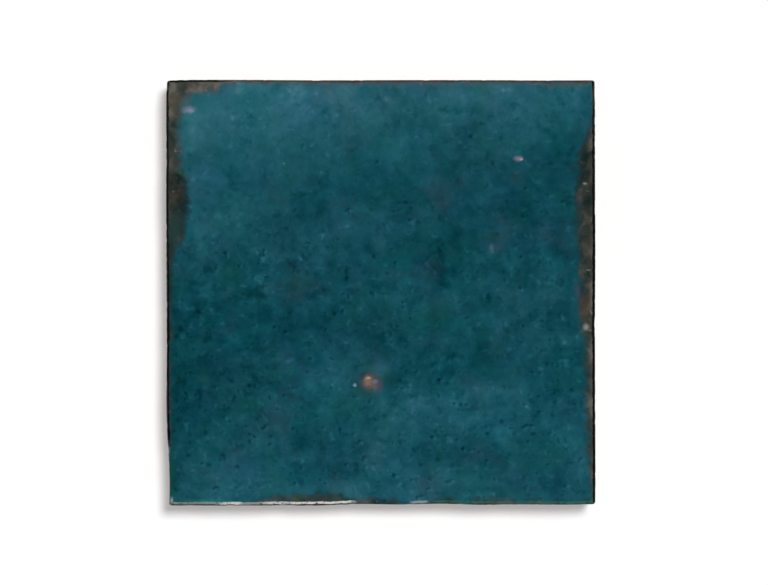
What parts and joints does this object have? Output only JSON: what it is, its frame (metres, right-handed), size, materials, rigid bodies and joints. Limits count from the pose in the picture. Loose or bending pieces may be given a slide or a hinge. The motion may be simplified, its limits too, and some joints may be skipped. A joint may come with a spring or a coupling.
{
  "type": "wall tile",
  "caption": "Square glazed ceramic wall tile with a wavy hand-made look face, worn bare edges and a keyed back.",
  "frame": {"origin": "on the plane the back rests on, under the middle of the face", "axes": "+Z out of the glazed face, +X to the right and +Y up as the face is seen in the picture"},
  "size_m": [0.0998, 0.0991, 0.01],
  "materials": {
    "glazed_ceramic": "glossy teal glaze on a fired red-brown clay body, bare and dark at the worn edges"
  },
  "bodies": {
    "root": {"tile": "glazed_ceramic"}
  },
  "joints": []
}
